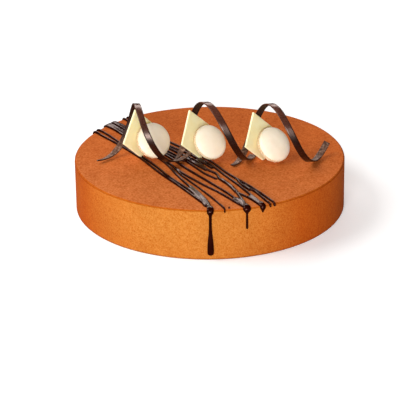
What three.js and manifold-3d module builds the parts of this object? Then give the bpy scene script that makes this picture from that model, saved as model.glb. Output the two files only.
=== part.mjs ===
// A round tiramisu cake with a drizzle of dark chocolate and three sets of decoration, each a white chocolate
// tile, a macaron shell and a dark chocolate curl. Millimetres, +Z up, +X to the right and +Y to the back.
// The origin is the middle of the cake's flat underside.
import * as THREE from 'three';
import { mergeVertices } from 'three/addons/utils/BufferGeometryUtils.js';
import Module from 'manifold-3d';

const wasm = await Module();
wasm.setup();

// Cake
const CAKE_RADIUS = 100;
const CAKE_HEIGHT = 38;
const TOP_EDGE_ROUND = 1.4;
const FOOT_EDGE_ROUND = 0.6;
const CAKE_SEGMENTS = 120;
const EDGE_STEPS = 3;

// Chocolate drizzle: strands that lie on the cake, some of which run over its edge, and short wide ones where
// it pools. A strand's end is half as thick as the rest. A drip hangs from a bulb at the edge and swells into
// a drop between two shares of its length.
const STRAND_HEIGHT = 1.6;
const STRAND_SUNK = 0.8;
const STRAND_SIDES = 8;
const STRAND_STEP = 8;
const STRAND_END = 0.5;
const EDGE_OVERHANG = 2;
const EDGE_TURNS = [20, 60];
const BULB_HEIGHT = 2.3;
const BULB_CORE = 1;
const BULB_LENGTH = 6;
const BULB_NECK = 4.5;
const DRIP_STEP = 3;
const DRIP_HEIGHT = 0.8;
const DROP_BEGINS = 0.3;
const DROP_FULL = 0.9;

// A decoration stands a hair above what carries it: the bare cake, or the strands of the drizzle
const GAP = 0.3;
const ON_CAKE = CAKE_HEIGHT + GAP;
const ON_DRIZZLE = ON_CAKE + STRAND_HEIGHT;

// White chocolate tiles: squares that stand on a corner, pushed into the cake
const TILE_SIDE = 27.8;
const TILE_THICKNESS = 1.5;
const TILE_BEVEL = 0.3;

// Macaron shells: a ruffled foot that bulges between two shares of its height, a crease, and a dome on it
const SHELL_HEIGHT = 6.5;
const FOOT_HEIGHT = 2;
const FOOT_INSET = 0.3;
const FOOT_BULGE = [0.3, 0.75];
const FOOT_RUFFLE = 0.4;
const RUFFLES = 17;
const FINE_RUFFLES = 27;
const CREASE_DEPTH = 0.2;
const CREASE_HEIGHT = 0.3;
const SHELL_SEGMENTS = 48;
const DOME_STEPS = 7;

// Chocolate curls: ribbons wound into a turn of a helix that opens out towards its ends
const CURL_THICKNESS = 1;
const CURL_STEP = 7;
const TIP_TAPER = 45;

// Strand paths over the top, from the back left to the front, as x, y. A number stands for a place on the
// cake's edge, in degrees from +X, where the strand runs over it. A drip then hangs down the side.
const strands = [
  {
    path: [151.4, [-81.5, 39.5], [-69, 22.5], [-51, -5.5], [-36, -34], [-21.5, -58.5], [-3, -92]],
    width: 1.8,
  },
  { path: [148.8, [-80, 45.5], [-68.5, 27], [-42, -16], [-29, -41.5], [-15.5, -63.5]], width: 1.7 },
  { path: [143.3, [-75, 54.5], [-66, 41], [-33, -14.5], [-23.5, -38.5], [-14.5, -59]], width: 1.6 },
  { path: [[-15, -61.5], [-11, -70], [-7, -79.5], [-2, -94]], width: 4.2 },
  {
    path: [[-14.5, -58], [-8.5, -71], [-2.5, -86], -90], width: 3,
    bulb: 5.2, drip: 34.5, dripWidth: 2.4, dripEnd: 5,
  },
  { path: [142.3, [-65.5, 43.5], [-28.5, -18.5], [-20, -39], [-7, -63], [5, -87], -84.2], width: 1.2 },
  {
    path: [141.4, [-30.5, -14.5], [-21.5, -31.5], [-7, -53], [7, -71], [19, -89], [23.5, -95.5]],
    width: 1.7,
  },
  { path: [140.5, [-65.5, 47.5], [-32.5, 0], [-14.5, -30], [0, -52], [14, -74], [23, -91.5]], width: 1.8 },
  { path: [139, [-65, 52], [-31, 7.5], [-14.5, -17], [-3.5, -36], [5, -46]], width: 1.6 },
  {
    path: [138.2, [-25, 6.5], [-10, -12], [-1.5, -28.5], [5, -37], [7, -45.5], [14.5, -58.5], [20, -74],
      -75.1],
    width: 2, bulb: 6, drip: 16, dripWidth: 1.8, dripEnd: 2,
  },
  {
    path: [137.4, [-64.5, 57], [-28, 15.5], [-3.5, -12.5], [12, -41.5], [19.5, -55.5], [26, -69], -68.4],
    width: 1.8, bulb: 4.4, drip: 5, dripWidth: 1.6, dripEnd: 1.8,
  },
  {
    path: [131.7, [-63, 69.5], [-28, 23], [-2.5, -7.5], [14.5, -38.5], [28.5, -59.5], [42, -83], -63.2],
    width: 1.8,
  },
  { path: [[19, -45.5], [23.5, -57.5], [31.5, -68.5], [39.5, -85.5], -65.1], width: 1.6 },
  { path: [[20, -71], [28, -81], [34.5, -92]], width: 1.7 },
  { path: [142, [-74, 55.5], [-66, 46]], width: 4.4 },
  { path: [137.8, [-68.5, 62], [-64, 56]], width: 3 },
  { path: [129.5, [-60, 71], [-34, 31]], width: 1.7 },
  { path: [[12.5, -96.2], [14, -96.8]], width: 1.4 },
  { path: [[-20, -1.5], [-11, -15], [-4, -25.5], [0, -31]], width: 1.8 },
  { path: [[-10, -9.5], [-3.5, -17.5], [2, -26]], width: 1.8 },
  { path: [[8, -46], [14.5, -58.5], [19, -70]], width: 2.8 },
  { path: [[17, -80], [21.5, -87], [25, -95]], width: 4.6 },
  { path: [[23.5, -56.5], [26.5, -62], [29, -66.5]], width: 2.8 },
  { path: [[28, -76.5], [32, -84.5], [35.5, -93]], width: 3 },
  { path: [[-34.5, 8], [-29.5, 0], [-24, -6.5], [-19, -11.5]], width: 1.8 },
  { path: [[-17.5, -7.5], [-13, -14.5], [-8, -22], [-2.5, -30]], width: 1.5 },
  { path: [[-19, 7.5], [-14.5, 1], [-9.5, -7], [-3.5, -15.5]], width: 1.7 },
];

// Each set's pieces. A tile's heading is that of its foot line and its lean is from the level; sunk is how
// deep its lower corner is in the cake, and at is the middle of its foot. A shell leans the same way, on its
// rim. A curl winds about its centre, and its angles run from the bottom (-90) by the back (0), the top (90)
// and the front (180) down to the bottom again (270). Its tip and end are shares of its width.
const sets = [
  {
    place: 'left',
    rest: ON_DRIZZLE,
    tile: { roll: 41.8, sunk: 3.2, heading: 56.1, lean: 84.8, at: [-49.7, -2.1] },
    shell: { radius: 13.4, heading: 31.3, lean: 58.8, at: [-38.4, -8.5] },
    curl: {
      centre: [-50.3, -10.1, 61.4], depthRadius: 21.4, heightRadius: 20.7, advance: 37.4, heading: -5.8,
      tilt: 5.3, width: 4.7, opening: 0.102, spread: 0.026, stretch: 0.245, from: -111, to: 296,
      tip: 0.2, end: 0.6,
    },
  },
  {
    place: 'middle',
    rest: ON_DRIZZLE,
    tile: { roll: 41.6, sunk: 2.7, heading: 58.4, lean: 78, at: [-6.2, -6.4] },
    shell: { radius: 13.3, heading: 38.2, lean: 54.1, at: [4.3, -12.1] },
    curl: {
      centre: [0.5, -11, 62.6], depthRadius: 18.3, heightRadius: 21.2, advance: 49.5, heading: 4.9,
      tilt: 5.4, width: 5.1, opening: 0.15, spread: 0.085, stretch: 0.06, from: -94, to: 281,
      tip: 0.2, end: 1,
    },
  },
  {
    place: 'right',
    rest: ON_CAKE,
    tile: { roll: 41.8, sunk: 2.5, heading: 57.6, lean: 78, at: [40.4, -8.8] },
    shell: { radius: 13.5, heading: 38.4, lean: 53.2, at: [51.4, -14.7] },
    curl: {
      centre: [47.6, -16.1, 61.4], depthRadius: 19.6, heightRadius: 22.1, advance: 50.3, heading: 4.1,
      tilt: 3.3, width: 4.8, opening: 0.056, spread: -0.005, stretch: 0.087, from: -104, to: 314,
      tip: 0.7, end: 1,
    },
  },
];

const materials = {
  cake: new THREE.MeshStandardMaterial({ color: 0xcb6b34, roughness: 0.9, metalness: 0 }),
  whiteChocolate: new THREE.MeshStandardMaterial({ color: 0xf3e2a5, roughness: 0.5, metalness: 0 }),
  macaron: new THREE.MeshStandardMaterial({ color: 0xfaeed7, roughness: 0.7, metalness: 0 }),
  darkChocolate: new THREE.MeshStandardMaterial({ color: 0x2d1612, roughness: 0.35, metalness: 0 }),
};

const { degToRad: radians, lerp, smoothstep } = THREE.MathUtils;

// One closed surface: shared vertices merged, and the flat triangles that a pole leaves dropped.
function weld(geometry) {
  geometry.deleteAttribute('normal');
  geometry.deleteAttribute('uv');
  const welded = mergeVertices(geometry, 1e-4);
  const index = [];
  for (let i = 0; i < welded.index.count; i += 3) {
    const corners = [welded.index.getX(i), welded.index.getX(i + 1), welded.index.getX(i + 2)];
    if (new Set(corners).size === 3) index.push(...corners);
  }
  welded.setIndex(index);
  return welded;
}

function toSolid(geometry) {
  const vertProperties = new Float32Array(geometry.attributes.position.array);
  const triVerts = new Uint32Array(geometry.index.array);
  return new wasm.Manifold(new wasm.Mesh({ numProp: 3, vertProperties, triVerts }));
}

function toGeometry(solid) {
  const mesh = solid.getMesh();
  const geometry = new THREE.BufferGeometry();
  geometry.setAttribute('position', new THREE.BufferAttribute(mesh.vertProperties, 3));
  geometry.setIndex(new THREE.BufferAttribute(mesh.triVerts, 1));
  return geometry;
}

// A closed skin over rings of equally many points, with a fan over each end.
function loft(rings) {
  const sides = rings[0].length;
  const points = rings.flat();
  const index = [];
  for (let row = 0; row + 1 < rings.length; row += 1) {
    for (let side = 0; side < sides; side += 1) {
      const next = (side + 1) % sides;
      const a = row * sides + side;
      const b = row * sides + next;
      index.push(a, b, b + sides, a, b + sides, a + sides);
    }
  }
  for (const [ring, first, outward] of [[rings[0], 0, -1], [rings.at(-1), points.length - sides, 1]]) {
    const middle = ring.reduce((sum, point) => sum.add(point), new THREE.Vector3()).divideScalar(sides);
    const hub = points.push(middle) - 1;
    for (let side = 0; side < sides; side += 1) {
      const a = first + side;
      const b = first + (side + 1) % sides;
      index.push(...(outward > 0 ? [a, b, hub] : [b, a, hub]));
    }
  }
  const geometry = new THREE.BufferGeometry().setFromPoints(points);
  geometry.setIndex(index);
  return geometry;
}

function cakeBody() {
  const profile = [new THREE.Vector2(0, 0)];
  for (let step = 0; step <= EDGE_STEPS; step += 1) {
    const angle = radians(-90 + 90 * step / EDGE_STEPS);
    const r = CAKE_RADIUS - FOOT_EDGE_ROUND + FOOT_EDGE_ROUND * Math.cos(angle);
    profile.push(new THREE.Vector2(r, FOOT_EDGE_ROUND + FOOT_EDGE_ROUND * Math.sin(angle)));
  }
  for (let step = 0; step <= EDGE_STEPS; step += 1) {
    const angle = radians(90 * step / EDGE_STEPS);
    const r = CAKE_RADIUS - TOP_EDGE_ROUND + TOP_EDGE_ROUND * Math.cos(angle);
    profile.push(new THREE.Vector2(r, CAKE_HEIGHT - TOP_EDGE_ROUND + TOP_EDGE_ROUND * Math.sin(angle)));
  }
  profile.push(new THREE.Vector2(0, CAKE_HEIGHT));
  return weld(new THREE.LatheGeometry(profile, CAKE_SEGMENTS).rotateX(Math.PI / 2));
}

// The way out of the cake's surface at a point on it: up on top, level on the side, turning over the edge.
function surfaceNormal(point) {
  const level = new THREE.Vector3(point.x, point.y, 0);
  const past = level.length() - (CAKE_RADIUS - TOP_EDGE_ROUND);
  const rise = point.z - (CAKE_HEIGHT - TOP_EDGE_ROUND);
  if (past <= 0) return new THREE.Vector3(0, 0, 1);
  const out = level.normalize().multiplyScalar(past);
  return new THREE.Vector3(out.x, out.y, Math.max(rise, 0)).normalize();
}

// The points of a strand over the cake's edge at an angle, from the top to a depth below it.
function overEdge(angle, depth) {
  const out = new THREE.Vector3(Math.cos(radians(angle)), Math.sin(radians(angle)), 0);
  const points = [];
  for (const turn of EDGE_TURNS) {
    const reach = CAKE_RADIUS - TOP_EDGE_ROUND + TOP_EDGE_ROUND * Math.sin(radians(turn));
    const z = CAKE_HEIGHT - TOP_EDGE_ROUND + TOP_EDGE_ROUND * Math.cos(radians(turn));
    points.push(out.clone().multiplyScalar(reach).setZ(z));
  }
  const steps = Math.max(1, Math.round(depth / DRIP_STEP));
  for (let step = 1; step <= steps; step += 1) {
    const z = CAKE_HEIGHT - TOP_EDGE_ROUND - (depth - TOP_EDGE_ROUND) * step / steps;
    points.push(out.clone().multiplyScalar(CAKE_RADIUS).setZ(z));
  }
  return points;
}

function strandPath({ path, drip = EDGE_OVERHANG }) {
  const points = [];
  path.forEach((stop, place) => {
    if (Array.isArray(stop)) points.push(new THREE.Vector3(stop[0], stop[1], CAKE_HEIGHT));
    else if (place === 0) points.push(...overEdge(stop, EDGE_OVERHANG).reverse());
    else points.push(...overEdge(stop, drip));
  });
  return new THREE.CatmullRomCurve3(points, false, 'centripetal');
}

// Width and height of a strand at a point: it swells into a bulb at the edge, and a drip ends in a drop.
function strandSize(strand, point) {
  const { width, bulb = width, drip = 0, dripWidth = width, dripEnd = dripWidth } = strand;
  const edgeAngle = strand.path.at(-1);
  if (Array.isArray(edgeAngle) || point.y > 0) return { width, height: STRAND_HEIGHT };
  const edge = new THREE.Vector3(Math.cos(radians(edgeAngle)), Math.sin(radians(edgeAngle)), 0);
  const away = edge.multiplyScalar(CAKE_RADIUS).setZ(CAKE_HEIGHT).distanceTo(point);
  const below = CAKE_HEIGHT - TOP_EDGE_ROUND - point.z;
  const near = 1 - smoothstep(away, BULB_CORE, below > 0 ? BULB_NECK : BULB_LENGTH);
  const bulbHeight = bulb > width ? BULB_HEIGHT : STRAND_HEIGHT;
  if (below <= 0 || drip === 0) {
    return { width: lerp(width, bulb, near), height: lerp(STRAND_HEIGHT, bulbHeight, near) };
  }
  const drop = lerp(dripWidth, dripEnd, smoothstep(below, drip * DROP_BEGINS, drip * DROP_FULL));
  return { width: lerp(drop, bulb, near), height: lerp(Math.max(drop / 2, DRIP_HEIGHT), bulbHeight, near) };
}

function strandGeometry(strand) {
  const curve = strandPath(strand);
  const length = curve.getLength();
  const onSide = strand.drip ?? 0;
  const steps = Math.ceil((length - onSide) / STRAND_STEP) + Math.ceil(onSide / DRIP_STEP) + 2 * EDGE_STEPS;
  const rings = [];
  for (let step = 0; step <= steps; step += 1) {
    const share = step / steps;
    const point = curve.getPointAt(share);
    const normal = surfaceNormal(point);
    const across = new THREE.Vector3().crossVectors(curve.getTangentAt(share), normal).normalize();
    const { width, height } = strandSize(strand, point);
    const end = step === 0 || step === steps ? STRAND_END : 1;
    const ring = [];
    for (let side = 0; side < STRAND_SIDES; side += 1) {
      const angle = 2 * Math.PI * (side + 0.5) / STRAND_SIDES;
      const rise = Math.sin(angle) * (Math.sin(angle) > 0 ? height * end : STRAND_SUNK);
      ring.push(point.clone()
        .addScaledVector(across, -Math.cos(angle) * end * width / 2)
        .addScaledVector(normal, rise));
    }
    rings.push(ring);
  }
  return loft(rings);
}

function cakeGeometry() {
  let solid = toSolid(cakeBody());
  for (const strand of strands) solid = solid.add(toSolid(strandGeometry(strand)));
  return toGeometry(solid);
}

// A square on one corner, with the part of that corner that is in the cake left off.
function tileGeometry({ roll, sunk }) {
  const angle = radians(roll);
  const left = new THREE.Vector2(-Math.cos(angle), Math.sin(angle));
  const right = new THREE.Vector2(Math.sin(angle), Math.cos(angle));
  const corner = new THREE.Vector2(0, -sunk);
  const outline = new THREE.Shape([
    new THREE.Vector2(-sunk / Math.tan(angle), 0),
    new THREE.Vector2(sunk * Math.tan(angle), 0),
    corner.clone().addScaledVector(right, TILE_SIDE),
    corner.clone().addScaledVector(right, TILE_SIDE).addScaledVector(left, TILE_SIDE),
    corner.clone().addScaledVector(left, TILE_SIDE),
  ]);
  const geometry = new THREE.ExtrudeGeometry(outline, {
    depth: TILE_THICKNESS - 2 * TILE_BEVEL,
    bevelThickness: TILE_BEVEL,
    bevelSize: TILE_BEVEL,
    bevelOffset: -TILE_BEVEL,
    bevelSegments: 1,
  });
  return weld(geometry.translate(0, 0, TILE_BEVEL - TILE_THICKNESS));
}

// Flat underneath, a ruffled foot, a crease and a dome, turned about Z.
function shellGeometry({ radius }) {
  const dome = radius - FOOT_INSET;
  const profile = [
    new THREE.Vector2(0, 0),
    new THREE.Vector2(radius - FOOT_INSET, 0),
    ...FOOT_BULGE.map((share) => new THREE.Vector2(radius, FOOT_HEIGHT * share)),
    new THREE.Vector2(dome - CREASE_DEPTH, FOOT_HEIGHT),
  ];
  for (let step = 0; step <= DOME_STEPS; step += 1) {
    const angle = radians(90 * step / DOME_STEPS);
    const z = lerp(FOOT_HEIGHT + CREASE_HEIGHT, SHELL_HEIGHT, Math.sin(angle));
    profile.push(new THREE.Vector2(step === DOME_STEPS ? 0 : dome * Math.cos(angle), z));
  }
  const geometry = weld(new THREE.LatheGeometry(profile, SHELL_SEGMENTS).rotateX(Math.PI / 2));
  const position = geometry.attributes.position;
  for (let i = 0; i < position.count; i += 1) {
    const point = new THREE.Vector3().fromBufferAttribute(position, i);
    const reach = Math.hypot(point.x, point.y);
    if (reach < radius - 1e-3) continue;
    const turn = Math.atan2(point.y, point.x);
    const ruffle = (2 + Math.sin(RUFFLES * turn) + Math.sin(FINE_RUFFLES * turn)) / 4;
    const scale = (radius - FOOT_RUFFLE * ruffle) / reach;
    position.setXYZ(i, point.x * scale, point.y * scale, point.z);
  }
  return geometry;
}

// The middle line of a curl at an angle in degrees.
function curlPoint(curl, angle) {
  const turn = (angle - 90) / 180;
  const heading = radians(curl.heading);
  const tilt = radians(curl.tilt);
  const along = new THREE.Vector3(Math.cos(heading), Math.sin(heading), Math.tan(tilt)).normalize();
  const back = new THREE.Vector3(-Math.sin(heading), Math.cos(heading), 0);
  const up = new THREE.Vector3().crossVectors(along, back);
  const grow = 1 + curl.opening * turn + curl.spread * turn ** 2;
  return new THREE.Vector3(...curl.centre)
    .addScaledVector(along, curl.advance * (turn / 2 + curl.stretch * turn ** 3))
    .addScaledVector(back, curl.depthRadius * grow * Math.cos(radians(angle)))
    .addScaledVector(up, curl.heightRadius * grow * Math.sin(radians(angle)));
}

function curlGeometry(curl) {
  const steps = Math.ceil((curl.to - curl.from) / CURL_STEP);
  const axis = curlPoint(curl, 270).sub(curlPoint(curl, -90)).normalize();
  const rings = [];
  for (let step = 0; step <= steps; step += 1) {
    const angle = curl.from + (curl.to - curl.from) * step / steps;
    const point = curlPoint(curl, angle);
    const tangent = curlPoint(curl, angle + 0.5).sub(curlPoint(curl, angle - 0.5)).normalize();
    const across = axis.clone().addScaledVector(tangent, -axis.dot(tangent)).normalize();
    const out = new THREE.Vector3().crossVectors(tangent, across);
    const atTip = lerp(curl.tip, 1, Math.min(1, (angle - curl.from) / TIP_TAPER));
    const atEnd = lerp(curl.end, 1, Math.min(1, (curl.to - angle) / TIP_TAPER));
    const half = curl.width / 2 * atTip * atEnd;
    const corners = [[1, 1], [-1, 1], [-1, -1], [1, -1]];
    rings.push(corners.map(([a, b]) => point.clone()
      .addScaledVector(across, a * half)
      .addScaledVector(out, b * CURL_THICKNESS / 2)));
  }
  return loft(rings);
}

// A group at a place on the cake, turned to a heading.
function placed([x, y], z, heading) {
  const group = new THREE.Group();
  group.position.set(x, y, z);
  group.rotation.z = radians(heading);
  return group;
}

function named(name, geometry, material) {
  const mesh = new THREE.Mesh(geometry, material);
  mesh.name = name;
  return mesh;
}

function tileOn({ place, rest, tile }) {
  const lean = radians(tile.lean);
  const group = placed(tile.at, rest + TILE_THICKNESS * Math.cos(lean), tile.heading);
  const mesh = named(`white_tile_${place}`, tileGeometry(tile), materials.whiteChocolate);
  mesh.rotation.x = lean;
  return group.add(mesh);
}

function shellOn({ place, rest, shell }) {
  const group = placed(shell.at, rest, shell.heading);
  const leaning = new THREE.Group();
  leaning.rotation.x = radians(shell.lean);
  const mesh = named(`macaron_shell_${place}`, shellGeometry(shell), materials.macaron);
  mesh.position.y = shell.radius - FOOT_INSET;
  return group.add(leaning.add(mesh));
}

const tiramisu = new THREE.Group();
tiramisu.add(named('cake', cakeGeometry(), materials.cake));
for (const set of sets) {
  tiramisu.add(tileOn(set), shellOn(set));
  tiramisu.add(named(`chocolate_curl_${set.place}`, curlGeometry(set.curl), materials.darkChocolate));
}

export default tiramisu;
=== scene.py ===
# A round tiramisu: a cake in a velvet coat, poured dark chocolate drizzle, and three sets of decoration,
# each a white chocolate tile, a macaron shell and a dark chocolate curl.
import math

import bmesh
import bpy
import numpy as np
from mathutils import Matrix, Vector, noise


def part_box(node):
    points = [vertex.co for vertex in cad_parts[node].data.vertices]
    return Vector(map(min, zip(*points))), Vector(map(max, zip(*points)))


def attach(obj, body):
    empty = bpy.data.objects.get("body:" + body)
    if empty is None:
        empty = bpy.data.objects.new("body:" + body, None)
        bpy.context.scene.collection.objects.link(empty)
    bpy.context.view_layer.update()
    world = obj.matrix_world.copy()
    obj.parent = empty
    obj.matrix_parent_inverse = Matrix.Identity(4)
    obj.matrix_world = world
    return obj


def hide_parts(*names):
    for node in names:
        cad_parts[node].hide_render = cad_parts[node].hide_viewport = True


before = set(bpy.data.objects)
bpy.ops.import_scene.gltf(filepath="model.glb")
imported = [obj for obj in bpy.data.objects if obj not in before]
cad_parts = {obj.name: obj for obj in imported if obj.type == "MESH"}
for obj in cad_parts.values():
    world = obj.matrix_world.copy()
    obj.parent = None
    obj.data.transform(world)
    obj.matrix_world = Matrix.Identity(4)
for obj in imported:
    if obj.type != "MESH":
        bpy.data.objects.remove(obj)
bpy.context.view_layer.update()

# Lengths are millimetres until a mesh is made
MM = 0.001

# Cake
CAKE_RADIUS = (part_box("cake")[1].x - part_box("cake")[0].x) / 2 / MM
CAKE_HEIGHT = 38.0
TOP_EDGE_ROUND = 1.4
FOOT_EDGE_ROUND = 0.6
COAT_GRID = 200
COAT_STEP = 0.9
EDGE_STEPS = 5
FACING_UP = 0.5

# Drizzle
STRAND_HEIGHT = 1.6
STRAND_SUNK = 0.8
STRAND_SIDES = 16
STRAND_STEP = 0.6
CURVE_STEP = 0.1
END_BLUNT = 0.3
EDGE_OVERHANG = 2.0
EDGE_TURNS = (20, 60)
BULB_HEIGHT = 2.3
BULB_CORE = 1.0
BULB_LENGTH = 6.0
BULB_NECK = 4.5
DRIP_STEP = 3.0
DRIP_HEIGHT = 0.8
DROP_BEGINS = 0.3
DROP_FULL = 0.9
STRAND_SQUARE = 0.9
POOL_WIDTH = 2.5
POOL_SQUARE = 0.35
UNEVEN_WIDTH = 0.1
UNEVEN_HEIGHT = 0.05
UNEVEN_LENGTH = 8
FIRST_SEED = 0.4
SEED_STEP = 1.7
DRIZZLE_VOXEL = 0.3
DRIZZLE_SMOOTHING = 14
DRIZZLE_KEEP = 0.4

# What a decoration rests on
GAP = 0.3
ON_CAKE = CAKE_HEIGHT + GAP
ON_DRIZZLE = ON_CAKE + STRAND_HEIGHT

# White chocolate tiles
TILE_SIDE = 27.8
TILE_THICKNESS = 1.5
TILE_ROUND = 0.3
TILE_ROUND_STEPS = 3
TILE_VOXEL = 0.4
TILE_SMOOTHING = 2

# Macaron shells
SHELL_HEIGHT = 6.5
FOOT_HEIGHT = 2.4
FOOT_INSET = 0.3
FOOT_SQUARE = 0.7
FOOT_STEPS = 8
DOME_INSET = 0.5
CREASE_DEPTH = 0.35
CREASE_FLOOR = 0.05
CREASE_RISE = 0.25
FOOT_RUFFLE = 0.4
RUFFLE_FADES = 0.9
RUFFLES = 17
FINE_RUFFLES = 27
CRUMB_FADES = (0.8, 1.2)
SHELL_SEGMENTS = 144
UNDERSIDE_RINGS = (0.3, 0.6, 0.85)
DOME_STEPS = 26

# Chocolate curls: angles in degrees, 90 at the top of the turn
CURL_THICKNESS = 1.0
CURL_STEP = 2.5
CURL_ROUND = 0.2
CURL_FOOT = -90
TANGENT_STEP = 0.5
TIP_TAPER = 45
RIBBON_ACROSS = (1, 0.94, 0.6, 0.2, -0.2, -0.6, -0.94, -1)

# Unevenness as layers of bumps: height and width in millimetres, seed. The pits' first value is their depth,
# and the ribbons' is a share of their width.
COAT_BUMPS = [(0.12, 32, 0.0), (0.02, 1.9, 3.1), (0.02, 1.1, 7.7)]
COAT_PITS = (0.06, 2.3, 12.4)
PIT_LEVEL = 0.35
TILE_BUMPS = [(0.03, 5, 2.2), (0.015, 1.2, 5.1)]
CRUMB_BUMPS = [(0.18, 1.3, 4.2), (0.1, 0.7, 8.8)]
DOME_BUMPS = [(0.06, 7, 1.5), (0.012, 1.2, 6.1)]
RIBBON_BUMPS = [(0.03, 6, 3.3)]
SOFTEN_FACTOR = 0.5

# Strand paths over the top, from the back left to the front, as x, y. A number stands for a place on the
# cake's edge, in degrees from +X, where the strand runs over it. A drip then hangs down the side.
STRANDS = [
    {"path": [151.4, (-81.5, 39.5), (-69, 22.5), (-51, -5.5), (-36, -34), (-21.5, -58.5), (-3, -92)],
     "width": 1.8},
    {"path": [148.8, (-80, 45.5), (-68.5, 27), (-42, -16), (-29, -41.5), (-15.5, -63.5)], "width": 1.7},
    {"path": [143.3, (-75, 54.5), (-66, 41), (-33, -14.5), (-23.5, -38.5), (-14.5, -59)], "width": 1.6},
    {"path": [(-15, -61.5), (-11, -70), (-7, -79.5), (-2, -94)], "width": 4.2},
    {"path": [(-14.5, -58), (-8.5, -71), (-2.5, -86), -90],
     "width": 3, "bulb": 5.2, "drip": 34.5, "drip_width": 2.4, "drip_end": 5},
    {"path": [142.3, (-65.5, 43.5), (-28.5, -18.5), (-20, -39), (-7, -63), (5, -87), -84.2], "width": 1.2},
    {"path": [141.4, (-30.5, -14.5), (-21.5, -31.5), (-7, -53), (7, -71), (19, -89), (23.5, -95.5)],
     "width": 1.7},
    {"path": [140.5, (-65.5, 47.5), (-32.5, 0), (-14.5, -30), (0, -52), (14, -74), (23, -91.5)],
     "width": 1.8},
    {"path": [139, (-65, 52), (-31, 7.5), (-14.5, -17), (-3.5, -36), (5, -46)], "width": 1.6},
    {"path": [138.2, (-25, 6.5), (-10, -12), (-1.5, -28.5), (5, -37), (7, -45.5), (14.5, -58.5), (20, -74),
              -75.1],
     "width": 2, "bulb": 6, "drip": 16, "drip_width": 1.8, "drip_end": 2},
    {"path": [137.4, (-64.5, 57), (-28, 15.5), (-3.5, -12.5), (12, -41.5), (19.5, -55.5), (26, -69), -68.4],
     "width": 1.8, "bulb": 4.4, "drip": 5, "drip_width": 1.6, "drip_end": 1.8},
    {"path": [131.7, (-63, 69.5), (-28, 23), (-2.5, -7.5), (14.5, -38.5), (28.5, -59.5), (42, -83), -63.2],
     "width": 1.8},
    {"path": [(19, -45.5), (23.5, -57.5), (31.5, -68.5), (39.5, -85.5), -65.1], "width": 1.6},
    {"path": [(20, -71), (28, -81), (34.5, -92)], "width": 1.7},
    {"path": [142, (-74, 55.5), (-66, 46)], "width": 4.4},
    {"path": [137.8, (-68.5, 62), (-64, 56)], "width": 3},
    {"path": [129.5, (-60, 71), (-34, 31)], "width": 1.7},
    {"path": [(12.5, -96.2), (14, -96.8)], "width": 1.4},
    {"path": [(-20, -1.5), (-11, -15), (-4, -25.5), (0, -31)], "width": 1.8},
    {"path": [(-10, -9.5), (-3.5, -17.5), (2, -26)], "width": 1.8},
    {"path": [(8, -46), (14.5, -58.5), (19, -70)], "width": 2.8},
    {"path": [(17, -80), (21.5, -87), (25, -95)], "width": 4.6},
    {"path": [(23.5, -56.5), (26.5, -62), (29, -66.5)], "width": 2.8},
    {"path": [(28, -76.5), (32, -84.5), (35.5, -93)], "width": 3},
    {"path": [(-34.5, 8), (-29.5, 0), (-24, -6.5), (-19, -11.5)], "width": 1.8},
    {"path": [(-17.5, -7.5), (-13, -14.5), (-8, -22), (-2.5, -30)], "width": 1.5},
    {"path": [(-19, 7.5), (-14.5, 1), (-9.5, -7), (-3.5, -15.5)], "width": 1.7},
]

# Each set's pieces, placed as the solids are
SETS = [
    {
        "place": "left",
        "rest": ON_DRIZZLE,
        "tile": {"roll": 41.8, "sunk": 3.2, "heading": 56.1, "lean": 84.8, "at": (-49.7, -2.1)},
        "shell": {"radius": 13.4, "heading": 31.3, "lean": 58.8, "at": (-38.4, -8.5)},
        "curl": {
            "centre": (-50.3, -10.1, 61.4), "depth_radius": 21.4, "height_radius": 20.7, "advance": 37.4,
            "heading": -5.8, "tilt": 5.3, "width": 4.7, "opening": 0.102, "spread": 0.026, "stretch": 0.245,
            "from": -111, "to": 296, "tip": 0.2, "end": 0.6,
        },
    },
    {
        "place": "middle",
        "rest": ON_DRIZZLE,
        "tile": {"roll": 41.6, "sunk": 2.7, "heading": 58.4, "lean": 78, "at": (-6.2, -6.4)},
        "shell": {"radius": 13.3, "heading": 38.2, "lean": 54.1, "at": (4.3, -12.1)},
        "curl": {
            "centre": (0.5, -11, 62.6), "depth_radius": 18.3, "height_radius": 21.2, "advance": 49.5,
            "heading": 4.9, "tilt": 5.4, "width": 5.1, "opening": 0.15, "spread": 0.085, "stretch": 0.06,
            "from": -94, "to": 281, "tip": 0.2, "end": 1,
        },
    },
    {
        "place": "right",
        "rest": ON_CAKE,
        "tile": {"roll": 41.8, "sunk": 2.5, "heading": 57.6, "lean": 78, "at": (40.4, -8.8)},
        "shell": {"radius": 13.5, "heading": 38.4, "lean": 53.2, "at": (51.4, -14.7)},
        "curl": {
            "centre": (47.6, -16.1, 61.4), "depth_radius": 19.6, "height_radius": 22.1, "advance": 50.3,
            "heading": 4.1, "tilt": 3.3, "width": 4.8, "opening": 0.056, "spread": -0.005, "stretch": 0.087,
            "from": -104, "to": 314, "tip": 0.7, "end": 1,
        },
    },
]

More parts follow.
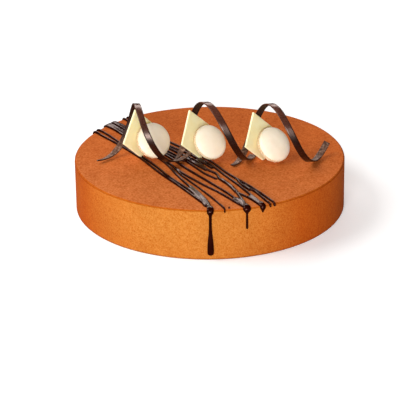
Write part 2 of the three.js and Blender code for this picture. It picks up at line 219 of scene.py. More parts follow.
# Coat. Painted light makes it paler and yellower towards the front, a little to the left, where the front
# light falls, from one share of the cake's radius to another. Grains are a size in millimetres, a dark shade
# and a pale shade that multiply the colour.
PAINTED_LIGHT_SIDE = (-0.21, -0.978, 0)
# The side and the top are one coat in two colours, lit and shaded copies that stand in for how light falls on
# each: painted light
COAT_SIDE = {
    "colour": (164, 76, 16),
    "painted_front_light": (172, 105, 41),
    "spread": (0.6, 0.98),
    "grains": [
        (24, (0.95, 0.93, 0.9, 1), (1.04, 1.04, 1.05, 1)),
        (2.2, (0.93, 0.87, 0.78, 1), (1.04, 1.07, 1.14, 1)),
        (0.9, (0.82, 0.6, 0.3, 1), (1.1, 1.22, 1.45, 1)),
    ],
}
COAT_TOP = {
    "colour": (198, 100, 39),
    "painted_front_light": (206, 114, 55),
    "spread": (-0.4, 0.75),
    "grains": [
        (24, (0.94, 0.91, 0.87, 1), (1.05, 1.06, 1.08, 1)),
        (3.6, (0.9, 0.83, 0.72, 1), (1.06, 1.1, 1.18, 1)),
        (1.4, (0.82, 0.6, 0.3, 1), (1.1, 1.22, 1.45, 1)),
    ],
}

# Colours that multiply the coat's colour: a darker line along its top edge, a painted contact shadow at its
# foot and slight painted shade above it, darker towards the bottom. They lie at shares of the edge shade's
# width, in millimetres, and of the cake's height.
PLAIN = (1, 1, 1, 1)
EDGE_SHADE = (0.7, 0.54, 0.14, 1)
EDGE_SHADE_WIDTH = 1.4
EDGE_SHADE_FADES = (0.72, 1.0)
EDGE_SHADE_UNEVEN = 0.2
FOOT_PAINTED_SHADOW = (0.55, 0.45, 0.35, 1)
LOW_PAINTED_SHADE = (0.96, 0.9, 0.82, 1)
FOOT_PAINTED_SHADE_RISES = (0.02, 0.045, 0.6)
FOOT_PAINTED_SHADE_UNEVEN = 0.02
SHADE_NOISE = 2.5

# Where noise is dark, even and pale
NOISE_LOW = 0.3
NOISE_MIDDLE = 0.5
NOISE_HIGH = 0.7

# Colours from the dark to the pale parts of each material, as sRGB from 0 to 255
DRIZZLE_COLOURS = [(26, 3, 1), (38, 7, 3)]
CURL_FRESH = [(25, 8, 4), (35, 12, 7)]
CURL_PAINTED_SHEEN = [(72, 39, 29), (90, 52, 40)]
CURL_PAINTED_SHADE = [(24, 9, 6), (40, 18, 12)]
CURL_DUST_AND_PAINTED_LIGHT = [(58, 37, 28), (100, 72, 58), (150, 118, 100)]
TILE_COLOURS = [(247, 230, 177), (252, 239, 193)]
DOME_COLOURS = [(236, 221, 197), (242, 229, 207)]
# The shell's foot is a little toasted, and darkened with painted shade under the dome's edge
FOOT_TOAST_AND_SHADE_COLOURS = [(186, 148, 100), (224, 199, 158), (244, 229, 200)]
FOOT_COLOUR_RANGE = (0.32, 0.68)

# Heights between which the curls' inner dust and painted light give way to painted shade, and their outer
# painted sheen rises
DUST_AND_LIGHT_FADES = (44.0, 51.0)
PAINTED_SHEEN_RISES = (66.0, 84.0)

# Light passes into white chocolate and meringue: depths in metres
GLOW = {"Subsurface_Weight": 0.5, "Subsurface_Radius": (1.0, 0.85, 0.6), "Subsurface_Scale": 0.004}

# Chocolate reflects a little warm
CURL_TINT = (1.0, 0.74, 0.64, 1)
DRIZZLE_TINT = (1.0, 0.52, 0.4, 1)

# Studio, metres and watts
WHITE = (1, 1, 1, 1)
SKY_STRENGTH = 0.13
FLOOR_SIZE = 8
FLOOR_LOOK = {
    "Base_Color": (0.86, 0.86, 0.86, 1), "Roughness": 0.9, "Specular_IOR_Level": 0.1,
    "Emission_Color": WHITE, "Emission_Strength": 0.35,
}
LIGHTS = [
    {"name": "front", "place": (-0.45, -3.1, 0.6), "size": (1.2, 0.9), "power": 110},
    {"name": "sheen", "place": (0.55, -2.95, 1.22), "size": (0.5, 0.4), "power": 10},
    {"name": "left", "place": (-2.2, -0.1, 2.0), "size": (2.0, 1.8), "power": 64},
    {"name": "back", "place": (-0.3, 2.6, 1.5), "size": (2.6, 0.9), "power": 46, "colour": (1.0, 0.9, 0.85)},
]

# Camera, metres and radians: the eye is in front of the cake and looks down on it
EYE = (0, -1.36216, 0.60777)
CAMERA_PITCH = 0.4227
CAMERA_YAW = 0.0012
CAMERA_ROLL = -0.012
FOCAL_LENGTH = 172.17
SENSOR_WIDTH = 36.0
CLIP_START = 0.01


def linear(red, green, blue):
    """A colour given as sRGB from 0 to 255, as the linear RGBA that a shader takes."""
    parts = [value / 255 for value in (red, green, blue)]
    return [v / 12.92 if v <= 0.04045 else ((v + 0.055) / 1.055) ** 2.4 for v in parts] + [1.0]


def smoothstep(value, low, high):
    """0 below low, 1 above high and a smooth change between them."""
    share = min(1.0, max(0.0, (value - low) / (high - low)))
    return share * share * (3 - 2 * share)


def lerp(a, b, share):
    """The value a share of the way from a to b."""
    return a + (b - a) * share


def noise_at(point, size, seed):
    """Smooth noise from -1 to 1 whose bumps are about size millimetres wide."""
    return noise.noise(Vector(point) / size + Vector((seed, -seed, 2 * seed)))


def bumps_at(point, bumps):
    """The sum of several layers of bumps at a point."""
    return sum(height * noise_at(point, size, seed) for height, size, seed in bumps)


# Meshes


def mesh_piece(name, points, faces, *materials):
    """A smooth-shaded object from points in millimetres."""
    mesh = bpy.data.meshes.new(name)
    mesh.from_pydata([Vector(p) * MM for p in points], [], faces)
    mesh.update()
    piece = bpy.data.objects.new(name, mesh)
    bpy.context.scene.collection.objects.link(piece)
    for material in materials:
        mesh.materials.append(material)
    mesh.shade_smooth()
    return piece


def finish_piece(piece, node):
    """Hand a piece to the frame in place of its solid."""
    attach(piece, "root")
    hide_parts(node)


def fuse(piece, voxel, smoothing, keep=1.0):
    """Remesh a piece into one even skin, smooth it and keep a share of its triangles."""
    remesh = piece.modifiers.new("skin", "REMESH")
    remesh.mode = "VOXEL"
    remesh.voxel_size = voxel * MM
    soften = piece.modifiers.new("soften", "SMOOTH")
    soften.factor = SOFTEN_FACTOR
    soften.iterations = smoothing
    if keep < 1:
        piece.modifiers.new("thin", "DECIMATE").ratio = keep
    graph = bpy.context.evaluated_depsgraph_get()
    skin = bpy.data.meshes.new_from_object(piece.evaluated_get(graph))
    piece.modifiers.clear()
    piece.data = skin
    skin.shade_smooth()


def relief(piece, height):
    """Move each vertex along its normal by height(point, normal), in millimetres."""
    mesh = piece.data
    normals = [v.normal.copy() for v in mesh.vertices]
    for vertex, normal in zip(mesh.vertices, normals):
        vertex.co += normal * (height(vertex.co / MM, normal) * MM)
    mesh.update()


def skin_faces(rows, sides):
    """Quads between rings of equally many points that follow each other."""
    faces = []
    for row in range(rows - 1):
        for side in range(sides):
            a = row * sides + side
            b = row * sides + (side + 1) % sides
            faces.append((a, b, b + sides, a + sides))
    return faces


def end_faces(rows, sides):
    """The two faces that close a skin of rings at its ends."""
    return [tuple(reversed(range(sides))), tuple(range((rows - 1) * sides, rows * sides))]


# Cake


def disc_point(a, b):
    """A point of the square from -1 to 1 moved to the unit disc."""
    if a == 0 and b == 0:
        return 0.0, 0.0
    if abs(a) > abs(b):
        radius, angle = a, math.pi / 4 * b / a
    else:
        radius, angle = b, math.pi / 2 - math.pi / 4 * a / b
    return radius * math.cos(angle), radius * math.sin(angle)


def side_profile():
    """Radius and height of the rings below the flat top, over the edge and down to the foot."""
    rings = []
    for step in range(1, EDGE_STEPS + 1):
        angle = math.pi / 2 * step / EDGE_STEPS
        out = CAKE_RADIUS - TOP_EDGE_ROUND * (1 - math.sin(angle))
        rings.append((out, CAKE_HEIGHT - TOP_EDGE_ROUND * (1 - math.cos(angle))))
    upright = CAKE_HEIGHT - TOP_EDGE_ROUND - FOOT_EDGE_ROUND
    steps = round(upright / COAT_STEP)
    for step in range(1, steps + 1):
        rings.append((CAKE_RADIUS, CAKE_HEIGHT - TOP_EDGE_ROUND - upright * step / steps))
    for step in range(1, EDGE_STEPS + 1):
        angle = math.pi / 2 * step / EDGE_STEPS
        out = CAKE_RADIUS - FOOT_EDGE_ROUND * (1 - math.cos(angle))
        rings.append((out, FOOT_EDGE_ROUND * (1 - math.sin(angle))))
    rings.append((CAKE_RADIUS / 2, 0.0))
    return rings


def cake_mesh():
    """Points and faces of the cake: an even grid over the top, rings round the side, and a flat underside."""
    flat = CAKE_RADIUS - TOP_EDGE_ROUND
    row = COAT_GRID + 1
    border = (0, COAT_GRID)
    points = []
    for i in range(row):
        for j in range(row):
            x, y = disc_point(2 * i / COAT_GRID - 1, 2 * j / COAT_GRID - 1)
            points.append((x * flat, y * flat, CAKE_HEIGHT))
    faces = []
    for i in range(COAT_GRID):
        for j in range(COAT_GRID):
            a = i * row + j
            faces.append((a, a + row, a + row + 1, a + 1))
    rim = [i * row + j for i in range(row) for j in range(row) if i in border or j in border]
    rim.sort(key=lambda k: math.atan2(points[k][1], points[k][0]))
    above = rim
    for radius, z in side_profile():
        ring = []
        for k in rim:
            angle = math.atan2(points[k][1], points[k][0])
            points.append((radius * math.cos(angle), radius * math.sin(angle), z))
            ring.append(len(points) - 1)
        for side in range(len(rim)):
            after = (side + 1) % len(rim)
            faces.append((above[side], ring[side], ring[after], above[after]))
        above = ring
    points.append((0.0, 0.0, 0.0))
    hub = len(points) - 1
    for side in range(len(rim)):
        faces.append((above[side], hub, above[(side + 1) % len(rim)]))
    return points, faces


def coat_height(point, normal):
    """The sprayed coat: a slow waviness, a fine grain and small pits. The underside stays flat."""
    if normal.z < -FACING_UP:
        return 0.0
    depth, size, seed = COAT_PITS
    pit = depth * max(0.0, noise_at(point, size, seed) - PIT_LEVEL)
    return bumps_at(point, COAT_BUMPS) - pit


def make_cake(side_material, top_material):
    """The cake's body in its coat."""
    piece = mesh_piece("cake_coat", *cake_mesh(), side_material, top_material)
    for face in piece.data.polygons:
        if face.normal.z > FACING_UP:
            face.material_index = 1
    relief(piece, coat_height)
    finish_piece(piece, "cake")


# Drizzle


def over_edge(angle, depth):
    """Points of a strand over the cake's edge at an angle, from the top to a depth below it."""
    out = Vector((math.cos(math.radians(angle)), math.sin(math.radians(angle)), 0))
    points = []
    for turn in map(math.radians, EDGE_TURNS):
        reach = CAKE_RADIUS - TOP_EDGE_ROUND * (1 - math.sin(turn))
        points.append(out * reach + Vector((0, 0, CAKE_HEIGHT - TOP_EDGE_ROUND * (1 - math.cos(turn)))))
    steps = max(1, round(depth / DRIP_STEP))
    for step in range(1, steps + 1):
        z = CAKE_HEIGHT - TOP_EDGE_ROUND - (depth - TOP_EDGE_ROUND) * step / steps
        points.append(out * CAKE_RADIUS + Vector((0, 0, z)))
    return points


def strand_stops(strand):
    """The points that a strand runs through."""
    points = []
    for place, stop in enumerate(strand["path"]):
        if isinstance(stop, tuple):
            points.append(Vector((*stop, CAKE_HEIGHT)))
        elif place == 0:
            points.extend(reversed(over_edge(stop, EDGE_OVERHANG)))
        else:
            points.extend(over_edge(stop, strand.get("drip", EDGE_OVERHANG)))
    return points


def smooth_line(stops, step):
    """Points at even steps along a centripetal Catmull-Rom curve through the stops."""
    stops = [2 * stops[0] - stops[1], *stops, 2 * stops[-1] - stops[-2]]
    dense = []
    for a, b, c, d in zip(stops, stops[1:], stops[2:], stops[3:]):
        knots = np.cumsum([0, *((q - p).length ** 0.5 for p, q in ((a, b), (b, c), (c, d)))])
        count = max(2, round((c - b).length / CURVE_STEP))
        for t in np.linspace(knots[1], knots[2], count, endpoint=False):
            ab = a.lerp(b, (t - knots[0]) / (knots[1] - knots[0]))
            bc = b.lerp(c, (t - knots[1]) / (knots[2] - knots[1]))
            cd = c.lerp(d, (t - knots[2]) / (knots[3] - knots[2]))
            abc = ab.lerp(bc, (t - knots[0]) / (knots[2] - knots[0]))
            bcd = bc.lerp(cd, (t - knots[1]) / (knots[3] - knots[1]))
            dense.append(abc.lerp(bcd, (t - knots[1]) / (knots[2] - knots[1])))
    dense.append(stops[-2])
    line = np.array(dense)
    run = np.concatenate([[0], np.cumsum(np.linalg.norm(np.diff(line, axis=0), axis=1))])
    at = np.linspace(0, run[-1], max(2, round(run[-1] / step)) + 1)
    return [Vector(p) for p in np.stack([np.interp(at, run, line[:, axis]) for axis in range(3)], 1)]


def surface_normal(point):
    """The way out of the cake: up on top, level on the side, turning over the edge."""
    level = Vector((point.x, point.y, 0))
    past = level.length - (CAKE_RADIUS - TOP_EDGE_ROUND)
    if past <= 0:
        return Vector((0, 0, 1))
    rise = max(0.0, point.z - (CAKE_HEIGHT - TOP_EDGE_ROUND))
    return (level.normalized() * past + Vector((0, 0, rise))).normalized()


def strand_size(strand, point):
    """A strand's width and height at a point: it swells to a bulb at the edge, and a drip ends in a drop."""
    width = strand["width"]
    edge_angle = strand["path"][-1]
    if isinstance(edge_angle, tuple) or point.y > 0:
        return width, STRAND_HEIGHT
    angle = math.radians(edge_angle)
    edge = Vector((CAKE_RADIUS * math.cos(angle), CAKE_RADIUS * math.sin(angle), CAKE_HEIGHT))
    below = CAKE_HEIGHT - TOP_EDGE_ROUND - point.z
    near = 1 - smoothstep((edge - point).length, BULB_CORE, BULB_NECK if below > 0 else BULB_LENGTH)
    bulb = strand.get("bulb", width)
    bulb_height = BULB_HEIGHT if bulb > width else STRAND_HEIGHT
    drip = strand.get("drip", 0)
    if below <= 0 or drip == 0:
        return lerp(width, bulb, near), lerp(STRAND_HEIGHT, bulb_height, near)
    swell = smoothstep(below, drip * DROP_BEGINS, drip * DROP_FULL)
    drop = lerp(strand["drip_width"], strand["drip_end"], swell)
    return lerp(drop, bulb, near), lerp(max(drop / 2, DRIP_HEIGHT), bulb_height, near)


def strand_rings(strand, seed):
    """Rings of a strand, round at both ends and uneven along its length. A pool is flat on top."""
    line = smooth_line(strand_stops(strand), STRAND_STEP)
    last = len(line) - 1
    square = POOL_SQUARE if strand["width"] > POOL_WIDTH else STRAND_SQUARE
    rings = []
    for k, point in enumerate(line):
        tangent = line[min(k + 1, last)] - line[max(k - 1, 0)]
        normal = surface_normal(point)
        across = tangent.cross(normal).normalized()
        width, height = strand_size(strand, point)
        end = min(1.0, (min(k, last - k) + END_BLUNT) * STRAND_STEP / (width / 2))
        cap = math.sqrt(1 - (1 - end) ** 2)
        uneven = noise_at(point, UNEVEN_LENGTH, seed)
        half = cap * width / 2 * (1 + UNEVEN_WIDTH * uneven)
        top = cap * height * (1 + UNEVEN_HEIGHT * uneven)
        for side in range(STRAND_SIDES):
            angle = 2 * math.pi * side / STRAND_SIDES
            up = math.sin(angle)
            rise = top * up ** square if up > 0 else STRAND_SUNK * up
            rings.append(point - across * (math.cos(angle) * half) + normal * rise)
    return rings, len(line)


def make_drizzle(material):
    """All strands, bulbs and drips, fused into one skin."""
    points = []
    faces = []
    for number, strand in enumerate(STRANDS):
        rings, rows = strand_rings(strand, SEED_STEP * number + FIRST_SEED)
        first = len(points)
        points.extend(rings)
        strand_faces = skin_faces(rows, STRAND_SIDES) + end_faces(rows, STRAND_SIDES)
        faces.extend(tuple(first + k for k in face) for face in strand_faces)
    piece = mesh_piece("drizzle", points, faces, material)
    fuse(piece, DRIZZLE_VOXEL, DRIZZLE_SMOOTHING, DRIZZLE_KEEP)
    finish_piece(piece, "cake")


# Decorations


def spot(at, height, heading, lean):
    """The frame of a decoration that leans back at a place on the cake."""
    turn = Matrix.Rotation(math.radians(heading), 4, "Z") @ Matrix.Rotation(math.radians(lean), 4, "X")
    return Matrix.Translation((*at, height)) @ turn


def tile_height(point, normal):
    """Faint waves in a tile."""
    return bumps_at(point, TILE_BUMPS)


def make_tile(set_, material):
    """A square tile that stands on a corner, sunk into the cake."""
    tile = set_["tile"]
    height = set_["rest"] + TILE_THICKNESS * math.cos(math.radians(tile["lean"]))
    sunk = Matrix.Translation((0, -tile["sunk"], 0))
    on_corner = Matrix.Rotation(math.radians(90 - tile["roll"]), 4, "Z")
    box = bmesh.new()
    bmesh.ops.create_cube(box, size=1)
    bmesh.ops.translate(box, verts=box.verts, vec=(0.5, 0.5, -0.5))
    bmesh.ops.scale(box, verts=box.verts, vec=(TILE_SIDE, TILE_SIDE, TILE_THICKNESS))
    bmesh.ops.bevel(
        box, geom=box.edges[:], offset=TILE_ROUND, segments=TILE_ROUND_STEPS, affect="EDGES", profile=0.5,
    )
    box.transform(spot(tile["at"], height, tile["heading"], tile["lean"]) @ sunk @ on_corner)
    box.verts.index_update()
    points = [v.co.copy() for v in box.verts]
    faces = [tuple(v.index for v in face.verts) for face in box.faces]
    box.free()
    piece = mesh_piece(f"tile_{set_['place']}", points, faces, material)
    fuse(piece, TILE_VOXEL, TILE_SMOOTHING)
    relief(piece, tile_height)
    finish_piece(piece, f"white_tile_{set_['place']}")


def shell_profile(radius):
    """Radius and height from the underside's middle, round the foot, into a crease and over the dome."""
    inside = radius - FOOT_INSET
    dome = radius - DOME_INSET
    rings = [(radius * share, 0.0) for share in UNDERSIDE_RINGS]
    for step in range(FOOT_STEPS + 1):
        angle = math.radians(-90 + 180 * step / FOOT_STEPS)
        bulge = FOOT_INSET * math.cos(angle) ** FOOT_SQUARE
        rings.append((inside + bulge, FOOT_HEIGHT / 2 * (1 + math.sin(angle))))
    rings.append((dome - CREASE_DEPTH, FOOT_HEIGHT + CREASE_FLOOR))
    for step in range(DOME_STEPS):
        angle = math.pi / 2 * step / DOME_STEPS
        z = lerp(FOOT_HEIGHT + CREASE_RISE, SHELL_HEIGHT, math.sin(angle))
        rings.append((dome * math.cos(angle), z))
    return rings


def shell_ring(radius, z, full):
    """One ring of a shell, pulled in by the ruffles where it is part of the foot."""
    at_rim = smoothstep(radius, full - 2 * FOOT_INSET, full)
    foot = at_rim * (1 - smoothstep(z, FOOT_HEIGHT * RUFFLE_FADES, FOOT_HEIGHT))
    ring = []
    for side in range(SHELL_SEGMENTS):
        turn = 2 * math.pi * side / SHELL_SEGMENTS
        ruffle = (2 + math.sin(RUFFLES * turn) + math.sin(FINE_RUFFLES * turn)) / 4
        reach = radius - FOOT_RUFFLE * ruffle * foot
        ring.append(Vector((reach * math.cos(turn), reach * math.sin(turn), z)))
    return ring


def shell_mesh(radius):
    """Points and faces of a shell that lies on its flat side, with a hub at each pole."""
    rings = [shell_ring(r, z, radius) for r, z in shell_profile(radius)]
    points = [point for ring in rings for point in ring]
    faces = skin_faces(len(rings), SHELL_SEGMENTS)
    last = len(points) - SHELL_SEGMENTS
    for hub, first, order in ((Vector((0, 0, 0)), 0, -1), (Vector((0, 0, SHELL_HEIGHT)), last, 1)):
        points.append(hub)
        for side in range(SHELL_SEGMENTS):
            pair = (first + side, first + (side + 1) % SHELL_SEGMENTS)
            faces.append((*pair[::order], len(points) - 1))
    return points, faces


def make_shell(set_, dome_material, foot_material):
    """A macaron shell that stands on its rim and leans on its tile."""
    shell = set_["shell"]
    place = spot(shell["at"], set_["rest"], shell["heading"], shell["lean"])
    place = place @ Matrix.Translation((0, shell["radius"] - FOOT_INSET, 0))
    to_shell = place.inverted()

    def height(point, normal):
        """Crumbs on the foot and a slightly uneven dome."""
        crumb = 1 - smoothstep((to_shell @ point).z, *(FOOT_HEIGHT * share for share in CRUMB_FADES))
        return crumb * bumps_at(point, CRUMB_BUMPS) + bumps_at(point, DOME_BUMPS)

    points, faces = shell_mesh(shell["radius"])
    points = [place @ point for point in points]
    piece = mesh_piece(f"shell_{set_['place']}", points, faces, dome_material, foot_material)
    for face in piece.data.polygons:
        if (to_shell @ (face.center / MM)).z < FOOT_HEIGHT + CREASE_RISE:
            face.material_index = 1
    relief(piece, height)
    finish_piece(piece, f"macaron_shell_{set_['place']}")


def curl_point(curl, angle):
    """The middle line of a curl at an angle in degrees."""
    turn = (angle - 90) / 180
    heading = math.radians(curl["heading"])
    slope = math.tan(math.radians(curl["tilt"]))
    along = Vector((math.cos(heading), math.sin(heading), slope)).normalized()
    back = Vector((-math.sin(heading), math.cos(heading), 0))
    up = along.cross(back)
    grow = 1 + curl["opening"] * turn + curl["spread"] * turn ** 2
    point = Vector(curl["centre"]) + along * (curl["advance"] * (turn / 2 + curl["stretch"] * turn ** 3))
    point += back * (curl["depth_radius"] * grow * math.cos(math.radians(angle)))
    return point + up * (curl["height_radius"] * grow * math.sin(math.radians(angle)))


def ribbon_section():
    """Outline of a ribbon's section as shares across its width and millimetres out, with round edges."""
    half = CURL_THICKNESS / 2
    outer = [(share, half - CURL_ROUND if abs(share) == 1 else half) for share in RIBBON_ACROSS]
    return outer + [(share, -out) for share, out in reversed(outer)]


def curl_width(curl, angle, point):
    """Width of a curl's ribbon: it tapers to both ends and is a little uneven."""
    at_tip = lerp(curl["tip"], 1, min(1, (angle - curl["from"]) / TIP_TAPER))
    at_end = lerp(curl["end"], 1, min(1, (curl["to"] - angle) / TIP_TAPER))
    return curl["width"] * at_tip * at_end * (1 + bumps_at(point, RIBBON_BUMPS))


def make_curl(set_, outer_material, inner_material):
    """A ribbon wound into a turn of a helix."""
    curl = set_["curl"]
    steps = math.ceil((curl["to"] - curl["from"]) / CURL_STEP)
    axis = (curl_point(curl, CURL_FOOT + 360) - curl_point(curl, CURL_FOOT)).normalized()
    section = ribbon_section()
    sides = len(section)
    points = []
    for step in range(steps + 1):
        angle = lerp(curl["from"], curl["to"], step / steps)
        point = curl_point(curl, angle)
        before = curl_point(curl, angle - TANGENT_STEP)
        tangent = (curl_point(curl, angle + TANGENT_STEP) - before).normalized()
        across = (axis - tangent * axis.dot(tangent)).normalized()
        out = tangent.cross(across)
        half = curl_width(curl, angle, point) / 2
        points.extend(point + across * (share * half) + out * rise for share, rise in section)
    faces = skin_faces(steps + 1, sides) + end_faces(steps + 1, sides)
    piece = mesh_piece(f"curl_{set_['place']}", points, faces, outer_material, inner_material)
    for number, face in enumerate(piece.data.polygons):
        if len(face.vertices) == 4 and sides // 2 <= number % sides < sides - 1:
            face.material_index = 1
    finish_piece(piece, f"chocolate_curl_{set_['place']}")


# Materials


def add_node(tree, kind, inputs=None, **settings):
    """A shader node with its settings, and inputs that are values or other nodes' sockets."""
    made = tree.nodes.new(kind)
    for name, value in settings.items():
        setattr(made, name, value)
    for name, value in (inputs or {}).items():
        if isinstance(value, bpy.types.NodeSocket):
            tree.links.new(value, made.inputs[name])
        else:
            made.inputs[name].default_value = value
    return made


def new_material(name, **values):
    """A material, its node tree and its main shader, with uniform values set on the shader's own sockets."""
    material = bpy.data.materials.new(name)
    material.use_nodes = True
    shader = material.node_tree.nodes["Principled BSDF"]
    for socket, value in values.items():
        shader.inputs[socket.replace("_", " ")].default_value = value
    return material, material.node_tree, shader


def place_of(tree):
    """The place on the object, in metres."""
    return add_node(tree, "ShaderNodeTexCoord").outputs["Object"]


def height_of(tree, place):
    """The height of a place, in metres."""
    return add_node(tree, "ShaderNodeSeparateXYZ", {"Vector": place}).outputs["Z"]


def noise_of(tree, place, size, detail=2.0):
    """Noise from 0 to 1 whose bumps are about size millimetres wide."""
    inputs = {"Vector": place, "Scale": 1 / (size * MM), "Detail": detail}
    return add_node(tree, "ShaderNodeTexNoise", inputs).outputs["Fac"]


def vector_node(tree, operation, *inputs):
    """A vector node with its operation and inputs."""
    return add_node(tree, "ShaderNodeVectorMath", dict(enumerate(inputs)), operation=operation)


def ramp_of(tree, factor, *stops):
    """Linear colours at places from 0 to 1."""
    made = add_node(tree, "ShaderNodeValToRGB", {"Fac": factor})
    while len(made.color_ramp.elements) < len(stops):
        made.color_ramp.elements.new(0.5)
    for element, (at, colour) in zip(made.color_ramp.elements, stops):
        element.position = at
        element.color = colour
    return made.outputs["Color"]


def colours_of(tree, factor, colours, low=NOISE_LOW, high=NOISE_HIGH):
    """sRGB colours at even places from low to high."""
    last = len(colours) - 1
    stops = [(lerp(low, high, k / last), linear(*colour)) for k, colour in enumerate(colours)]
    return ramp_of(tree, factor, *stops)


def mix_of(tree, factor, a, b, blend="MIX"):
    """Two colours mixed by a factor. A colour mix node has its factor and colours in sockets 0, 6 and 7."""
    inputs = {0: factor, 6: a, 7: b}
    return add_node(tree, "ShaderNodeMix", inputs, data_type="RGBA", blend_type=blend).outputs[2]


def range_of(tree, value, low, high, to_low=0.0, to_high=1.0):
    """A value moved from one range to another, and held inside it."""
    inputs = {"Value": value, "From Min": low, "From Max": high, "To Min": to_low, "To Max": to_high}
    return add_node(tree, "ShaderNodeMapRange", inputs).outputs["Result"]


def set_colour(tree, shader, colour):
    """Link a colour to the shader."""
    tree.links.new(colour, shader.inputs["Base Color"])


def set_roughness(tree, shader, grain, at_low, at_high, low=NOISE_LOW, high=NOISE_HIGH):
    """Roughness that follows a grain."""
    tree.links.new(range_of(tree, grain, low, high, at_low, at_high), shader.inputs["Roughness"])


def set_bump(tree, shader, height, strength, depth):
    """Fine relief of a depth in millimetres."""
    inputs = {"Height": height, "Strength": strength, "Distance": depth * MM}
    bump = add_node(tree, "ShaderNodeBump", inputs)
    tree.links.new(bump.outputs["Normal"], shader.inputs["Normal"])


def from_edge(tree, place, height):
    """How far a place is from the corner that the cake's top edge would have, in metres."""
    level = vector_node(tree, "MULTIPLY", place, (1, 1, 0)).outputs["Vector"]
    reach = vector_node(tree, "LENGTH", level).outputs["Value"]
    section = add_node(tree, "ShaderNodeCombineXYZ", {"X": reach, "Y": height}).outputs["Vector"]
    corner = (CAKE_RADIUS * MM, CAKE_HEIGHT * MM, 0)
    return vector_node(tree, "DISTANCE", section, corner).outputs["Value"]


def edge_line_and_painted_shade(tree, place):
    """The coat's darker lines: along the top edge, a painted contact shadow at the foot and painted shade a
    little above it.
    """
    height = height_of(tree, place)
    uneven = noise_of(tree, place, SHADE_NOISE)
    rise = range_of(tree, height, 0.0, CAKE_HEIGHT * MM)
    rise = mix_of(tree, FOOT_PAINTED_SHADE_UNEVEN, rise, uneven, "ADD")
    # Painted shade: a contact shadow at the foot and a slight darkening towards it
    low = ramp_of(tree, rise, *zip(FOOT_PAINTED_SHADE_RISES, (FOOT_PAINTED_SHADOW, LOW_PAINTED_SHADE, PLAIN)))
    away = range_of(tree, from_edge(tree, place, height), 0.0, EDGE_SHADE_WIDTH * MM)
    away = mix_of(tree, EDGE_SHADE_UNEVEN, away, uneven, "ADD")
    edge = ramp_of(tree, away, *zip(EDGE_SHADE_FADES, (EDGE_SHADE, PLAIN)))
    return mix_of(tree, 1.0, low, edge, "MULTIPLY")


def coat_material(name, look):
    """Sprayed cocoa butter: a matte coat with pale and dark grains, painted light that makes it paler towards
    the front, a darker line along the top edge and painted shade at the foot.
    """
    material, tree, shader = new_material(name, Specular_IOR_Level=0.05)
    place = place_of(tree)
    # Painted light: towards the front the coat takes its front-lit colour
    towards = vector_node(tree, "DOT_PRODUCT", place, PAINTED_LIGHT_SIDE).outputs["Value"]
    near = range_of(tree, towards, *(share * CAKE_RADIUS * MM for share in look["spread"]))
    base = mix_of(tree, near, linear(*look["colour"]), linear(*look["painted_front_light"]))
    base = mix_of(tree, 1.0, base, edge_line_and_painted_shade(tree, place), "MULTIPLY")
    for size, dark, pale in look["grains"]:
        shades = zip((NOISE_LOW, NOISE_MIDDLE, NOISE_HIGH), (dark, PLAIN, pale))
        specks = ramp_of(tree, noise_of(tree, place, size), *shades)
        base = mix_of(tree, 1.0, base, specks, "MULTIPLY")
    set_colour(tree, shader, base)
    grain = noise_of(tree, place, size=1.0, detail=3)
    set_roughness(tree, shader, grain, at_low=0.95, at_high=0.75, low=0.2, high=0.8)
    set_bump(tree, shader, grain, strength=0.6, depth=0.15)
    return material


def drizzle_material():
    """Poured dark chocolate, set glossy."""
    material, tree, shader = new_material(
        "drizzle_chocolate", Specular_IOR_Level=0.2, Specular_Tint=DRIZZLE_TINT,
    )
    place = place_of(tree)
    set_colour(tree, shader, colours_of(tree, noise_of(tree, place, size=5), DRIZZLE_COLOURS))
    set_roughness(tree, shader, noise_of(tree, place, size=6), at_low=0.16, at_high=0.24)
    set_bump(tree, shader, noise_of(tree, place, size=3), strength=0.1, depth=0.06)
    return material


def chocolate_grain(tree, shader, place, smooth, rough):
    """Faint scrape marks in tempered chocolate."""
    marks = noise_of(tree, place, size=1.4, detail=4)
    set_roughness(tree, shader, marks, smooth, rough)
    set_bump(tree, shader, marks, strength=0.25, depth=0.08)


def curl_outer_material():
    """The smooth outer face of a curl, with painted sheen: paler where it is high, on the top of the turn
    where light falls.
    """
    material, tree, shader = new_material("curl_outer", Specular_IOR_Level=0.45, Specular_Tint=CURL_TINT)
    place = place_of(tree)
    # Painted sheen: the outer face turns paler with height
    high = range_of(tree, height_of(tree, place), *(z * MM for z in PAINTED_SHEEN_RISES))
    clouds = noise_of(tree, place, size=4, detail=3)
    fresh = colours_of(tree, clouds, CURL_FRESH)
    painted_sheen = colours_of(tree, clouds, CURL_PAINTED_SHEEN)
    set_colour(tree, shader, mix_of(tree, high, fresh, painted_sheen))
    chocolate_grain(tree, shader, place, smooth=0.24, rough=0.34)
    return material


def curl_inner_material():
    """The scraped inner face of a curl, dusty and in painted light where it lies low, with painted shade
    higher up.
    """
    material, tree, shader = new_material("curl_inner", Specular_IOR_Level=0.3, Specular_Tint=CURL_TINT)
    place = place_of(tree)
    dusty = range_of(tree, height_of(tree, place), *(z * MM for z in reversed(DUST_AND_LIGHT_FADES)))
    clouds = noise_of(tree, place, size=1.6, detail=4)
    # Painted shade where the inner face is high, dust with painted light where it lies low
    dark = colours_of(tree, clouds, CURL_PAINTED_SHADE)
    pale = colours_of(tree, clouds, CURL_DUST_AND_PAINTED_LIGHT)
    set_colour(tree, shader, mix_of(tree, dusty, dark, pale))
    chocolate_grain(tree, shader, place, smooth=0.45, rough=0.65)
    return material


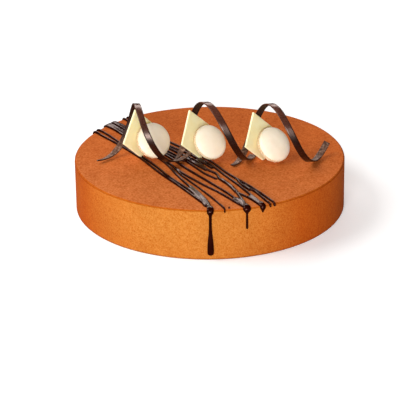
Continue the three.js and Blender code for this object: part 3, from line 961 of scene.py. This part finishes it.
def white_material():
    """White chocolate: ivory, with faint milky clouds."""
    material, tree, shader = new_material("white_chocolate_look", Specular_IOR_Level=0.35, **GLOW)
    place = place_of(tree)
    set_colour(tree, shader, colours_of(tree, noise_of(tree, place, size=9, detail=3), TILE_COLOURS))
    set_roughness(tree, shader, noise_of(tree, place, size=3), at_low=0.38, at_high=0.5)
    set_bump(tree, shader, noise_of(tree, place, size=1.2, detail=3), strength=0.15, depth=0.08)
    return material


def shell_foot_material():
    """The crumbly foot of a shell: fine bubbles, a little toasted, and darker with painted shade under the
    dome's edge.
    """
    material, tree, shader = new_material("macaron_foot", Specular_IOR_Level=0.1, Roughness=0.8)
    bubbles = noise_of(tree, place_of(tree), size=0.7, detail=3)
    set_colour(tree, shader, colours_of(tree, bubbles, FOOT_TOAST_AND_SHADE_COLOURS, *FOOT_COLOUR_RANGE))
    set_bump(tree, shader, bubbles, strength=0.8, depth=0.3)
    return material


def macaron_material():
    """Baked meringue: a cream dome with an eggshell skin."""
    material, tree, shader = new_material("macaron_look", Specular_IOR_Level=0.3, **GLOW)
    place = place_of(tree)
    set_colour(tree, shader, colours_of(tree, noise_of(tree, place, size=6, detail=3), DOME_COLOURS))
    set_roughness(tree, shader, noise_of(tree, place, size=2), at_low=0.5, at_high=0.65)
    set_bump(tree, shader, noise_of(tree, place, size=0.9, detail=4), strength=0.2, depth=0.1)
    return material


# Studio


def make_floor():
    """A plain pale floor that the chocolate doesn't mirror."""
    bpy.ops.mesh.primitive_plane_add(size=FLOOR_SIZE)
    floor = bpy.context.object
    floor.name = "floor"
    floor.data.materials.append(new_material("floor", **FLOOR_LOOK)[0])
    floor.visible_glossy = False


def area_light(name, place, size, power, colour=(1, 1, 1)):
    """A soft light that faces the cake."""
    light = bpy.data.lights.new(name, "AREA")
    light.shape = "RECTANGLE"
    light.size, light.size_y = size
    light.energy = power
    light.color = colour
    lamp = bpy.data.objects.new(name, light)
    lamp.location = place
    aim = Vector((0, 0, CAKE_HEIGHT * MM)) - Vector(place)
    lamp.rotation_euler = aim.to_track_quat("-Z", "Y").to_euler()
    bpy.context.scene.collection.objects.link(lamp)


def make_studio():
    """A faint white sky that the chocolate doesn't mirror, and the lights."""
    world = bpy.data.worlds.new("studio")
    world.use_nodes = True
    sky = world.node_tree.nodes["Background"]
    sky.inputs["Color"].default_value = WHITE
    sky.inputs["Strength"].default_value = SKY_STRENGTH
    world.cycles_visibility.glossy = False
    bpy.context.scene.world = world
    for light in LIGHTS:
        area_light(**light)
    bpy.context.scene.view_settings.view_transform = "Standard"


def make_camera():
    """The camera at the photograph's viewing angle."""
    camera = bpy.data.cameras.new("camera")
    camera.lens = FOCAL_LENGTH
    camera.sensor_width = SENSOR_WIDTH
    camera.clip_start = CLIP_START
    holder = bpy.data.objects.new("camera", camera)
    turn = Matrix.Rotation(CAMERA_YAW, 4, "Z") @ Matrix.Rotation(math.pi / 2 - CAMERA_PITCH, 4, "X")
    holder.matrix_world = Matrix.Translation(EYE) @ turn @ Matrix.Rotation(CAMERA_ROLL, 4, "Z")
    bpy.context.scene.collection.objects.link(holder)
    bpy.context.scene.camera = holder


make_camera()
make_studio()
make_floor()
# Side and top coats are painted-light copies of one coat
make_cake(coat_material("coat_side", COAT_SIDE), coat_material("coat_top", COAT_TOP))
make_drizzle(drizzle_material())
white = white_material()
macaron = macaron_material()
macaron_foot = shell_foot_material()
curl_outer = curl_outer_material()
curl_inner = curl_inner_material()
for set_ in SETS:
    make_tile(set_, white)
    make_shell(set_, macaron, macaron_foot)
    make_curl(set_, curl_outer, curl_inner)
